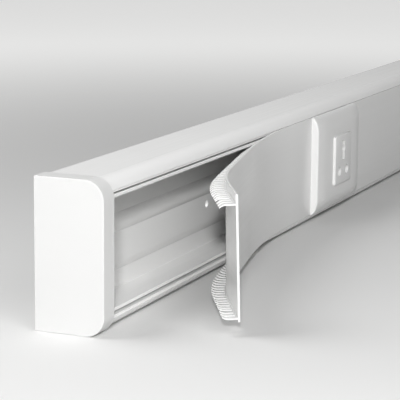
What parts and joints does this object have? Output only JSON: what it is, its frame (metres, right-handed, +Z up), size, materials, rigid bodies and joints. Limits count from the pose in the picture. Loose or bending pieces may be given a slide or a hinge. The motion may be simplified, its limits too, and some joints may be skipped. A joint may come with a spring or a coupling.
{
  "type": "cord cover raceway",
  "caption": "White plastic cord cover raceway: wall channel with an end cap, a clip-in cover with slit legs peeled open at one end, and a raised plate with a power socket.",
  "frame": {"origin": "middle of the wall face of the channel", "axes": "+X along the channel away from the end cap, +Y into the wall, +Z up"},
  "size_m": [1.0016, 0.1349, 0.1082],
  "materials": {
    "channel": "satin extruded rigid PVC, white",
    "cover": "satin extruded flexible PVC, white",
    "moulding": "satin moulded plastic, white",
    "socket": "satin moulded plastic, white"
  },
  "bodies": {
    "root": {"base": "channel", "peeled_cover": "cover", "closed_cover": "cover", "end_cap": "moulding", "device_plate": "moulding", "socket_insert": "socket"}
  },
  "joints": []
}
